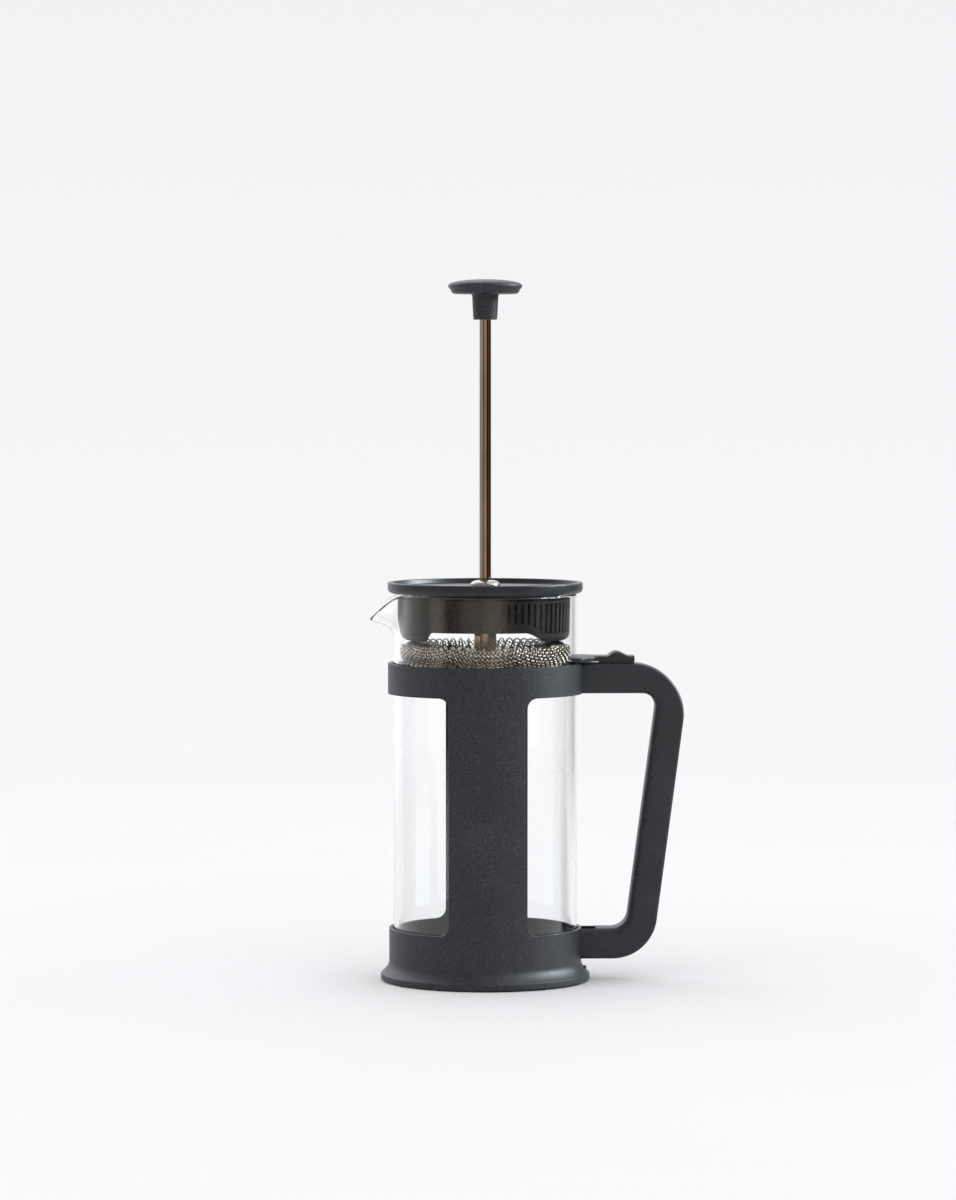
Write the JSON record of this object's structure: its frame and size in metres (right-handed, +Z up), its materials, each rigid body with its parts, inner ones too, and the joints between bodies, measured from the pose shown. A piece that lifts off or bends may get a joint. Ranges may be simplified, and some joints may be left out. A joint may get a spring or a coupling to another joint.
{
  "type": "french press",
  "caption": "Small press-pot coffee maker: glass beaker in a moulded cage with a handle, a turning strainer lid and a plunger with a mesh filter.",
  "frame": {"origin": "on the beaker's axis, in the plane of the table under the feet", "axes": "+Z up along the beaker and the plunger rod, +X towards the handle, -X towards the spout"},
  "size_m": [0.1196, 0.0798, 0.2672],
  "materials": {
    "dark_plastic": "dark slate moulded plastic with a fine spark texture",
    "lid_plastic": "dark slate moulded plastic, satin",
    "knob_plastic": "dark slate moulded plastic, fine texture",
    "catch_plastic": "dark slate moulded plastic, slightly lighter",
    "rubber": "black rubber",
    "glass": "clear heat-resistant glass",
    "polished_steel": "polished stainless steel",
    "steel": "stamped stainless steel",
    "spring_steel": "drawn stainless wire",
    "woven_steel": "fine woven stainless wire",
    "brass": "turned brass"
  },
  "bodies": {
    "holder": {"frame": "dark_plastic", "handle": "dark_plastic", "foot_1": "rubber", "foot_2": "rubber", "foot_3": "rubber", "foot_4": "rubber"},
    "catch": {"glass_catch": "catch_plastic"},
    "beaker": {"glass_beaker": "glass"},
    "guide": {"rod_guide": "polished_steel", "guide_washer": "steel"},
    "lid": {"lid_cover": "lid_plastic", "lid_strainer": "lid_plastic"},
    "plunger": {"knob": "knob_plastic", "knob_insert": "brass", "plunger_rod": "polished_steel", "filter_hub": "polished_steel", "spiral_plate": "steel", "edge_spring": "spring_steel", "mesh_screen": "woven_steel", "cross_plate": "steel", "retaining_nut": "steel"}
  },
  "joints": [
    {"name": "catch_slide", "type": "slide", "parent": "holder", "child": "catch", "axis": [1, 0, 0], "range_m": [0, 0.006]},
    {"name": "glass_lift", "type": "slide", "parent": "holder", "child": "beaker", "axis": [0, 0, 1], "range_m": [0, 0.12]},
    {"name": "lid_lift", "type": "slide", "parent": "beaker", "child": "guide", "axis": [0, 0, 1], "range_m": [0, 0.035]},
    {"name": "lid_turn", "type": "hinge", "parent": "guide", "child": "lid", "pos_m": [0, 0, 0.1479], "axis": [0, 0, 1], "continuous": true},
    {"name": "plunger_slide", "type": "slide", "parent": "guide", "child": "plunger", "axis": [0, 0, 1], "range_m": [-0.098, 0]}
  ]
}
